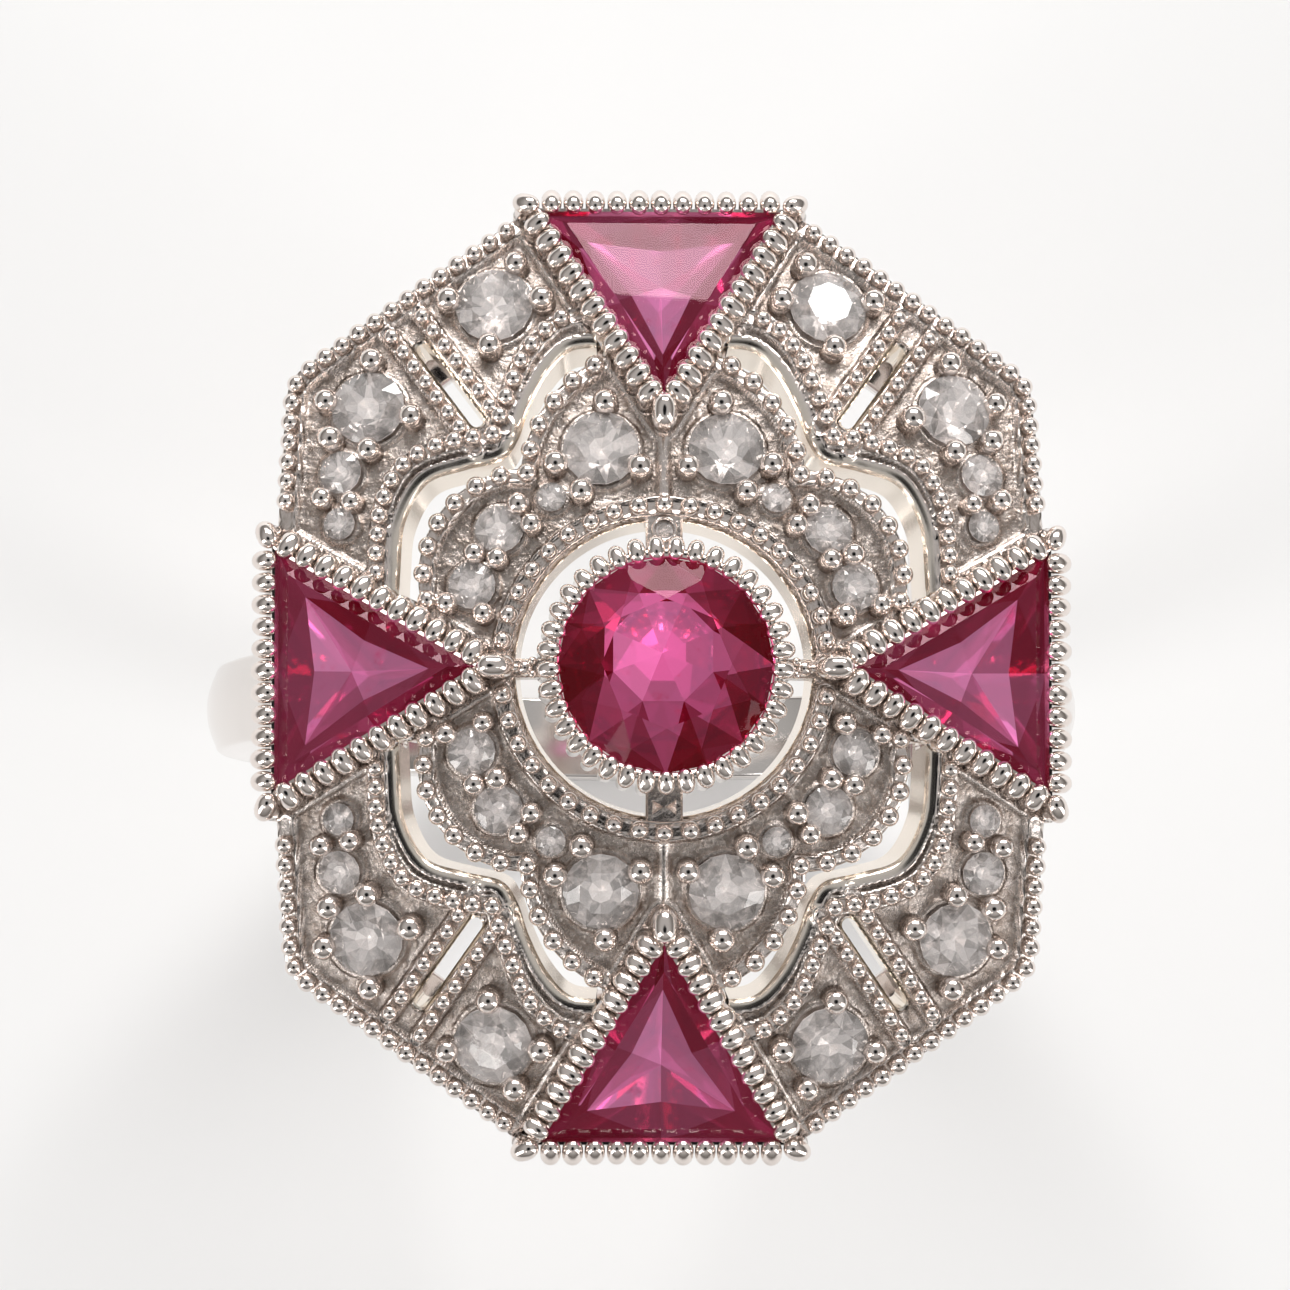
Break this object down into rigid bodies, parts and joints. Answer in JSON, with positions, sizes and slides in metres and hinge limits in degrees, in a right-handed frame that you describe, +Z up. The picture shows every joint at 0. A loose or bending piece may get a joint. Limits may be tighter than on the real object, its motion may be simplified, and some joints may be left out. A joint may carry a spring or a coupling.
{
  "type": "cocktail ring",
  "caption": "Domed openwork art deco ring: round and triangular rubies and small diamonds in a beaded octagonal plaque, on a gallery basket and a tapering band.",
  "frame": {"origin": "centre of the finger hole, halfway across the band", "axes": "+Z up through the middle of the plaque, +Y along the finger, +X across the finger"},
  "size_m": [0.0196, 0.0204, 0.0234],
  "materials": {
    "band_white_gold": "polished",
    "plaque_white_gold": "polished beads and rails over matt tooled fields",
    "center_ruby": "faceted, polished",
    "triangle_ruby": "step faceted, polished",
    "diamond": "brilliant cut, polished"
  },
  "bodies": {
    "root": {"shank": "band_white_gold", "gallery_basket": "band_white_gold", "center_collet": "plaque_white_gold", "triangle_collet_north": "plaque_white_gold", "triangle_collet_east": "plaque_white_gold", "triangle_collet_south": "plaque_white_gold", "triangle_collet_west": "plaque_white_gold", "frame_panel_ne": "plaque_white_gold", "frame_panel_nw": "plaque_white_gold", "frame_panel_se": "plaque_white_gold", "frame_panel_sw": "plaque_white_gold", "quatrefoil_upper": "plaque_white_gold", "quatrefoil_lower": "plaque_white_gold", "bridge_north": "plaque_white_gold", "bridge_south": "plaque_white_gold", "bridge_east": "plaque_white_gold", "bridge_west": "plaque_white_gold", "center_ruby": "center_ruby", "triangle_ruby_north": "triangle_ruby", "triangle_ruby_east": "triangle_ruby", "triangle_ruby_south": "triangle_ruby", "triangle_ruby_west": "triangle_ruby", "diamond_panel_ne_1": "diamond", "diamond_panel_ne_2": "diamond", "diamond_panel_ne_3": "diamond", "diamond_panel_ne_4": "diamond", "diamond_panel_nw_1": "diamond", "diamond_panel_nw_2": "diamond", "diamond_panel_nw_3": "diamond", "diamond_panel_nw_4": "diamond", "diamond_panel_se_1": "diamond", "diamond_panel_se_2": "diamond", "diamond_panel_se_3": "diamond", "diamond_panel_se_4": "diamond", "diamond_panel_sw_1": "diamond", "diamond_panel_sw_2": "diamond", "diamond_panel_sw_3": "diamond", "diamond_panel_sw_4": "diamond", "diamond_petal_ne_1": "diamond", "diamond_petal_ne_2": "diamond", "diamond_petal_ne_3": "diamond", "diamond_petal_ne_4": "diamond", "diamond_petal_nw_1": "diamond", "diamond_petal_nw_2": "diamond", "diamond_petal_nw_3": "diamond", "diamond_petal_nw_4": "diamond", "diamond_petal_se_1": "diamond", "diamond_petal_se_2": "diamond", "diamond_petal_se_3": "diamond", "diamond_petal_se_4": "diamond", "diamond_petal_sw_1": "diamond", "diamond_petal_sw_2": "diamond", "diamond_petal_sw_3": "diamond", "diamond_petal_sw_4": "diamond", "diamond_bridge_north": "diamond"}
  },
  "joints": []
}
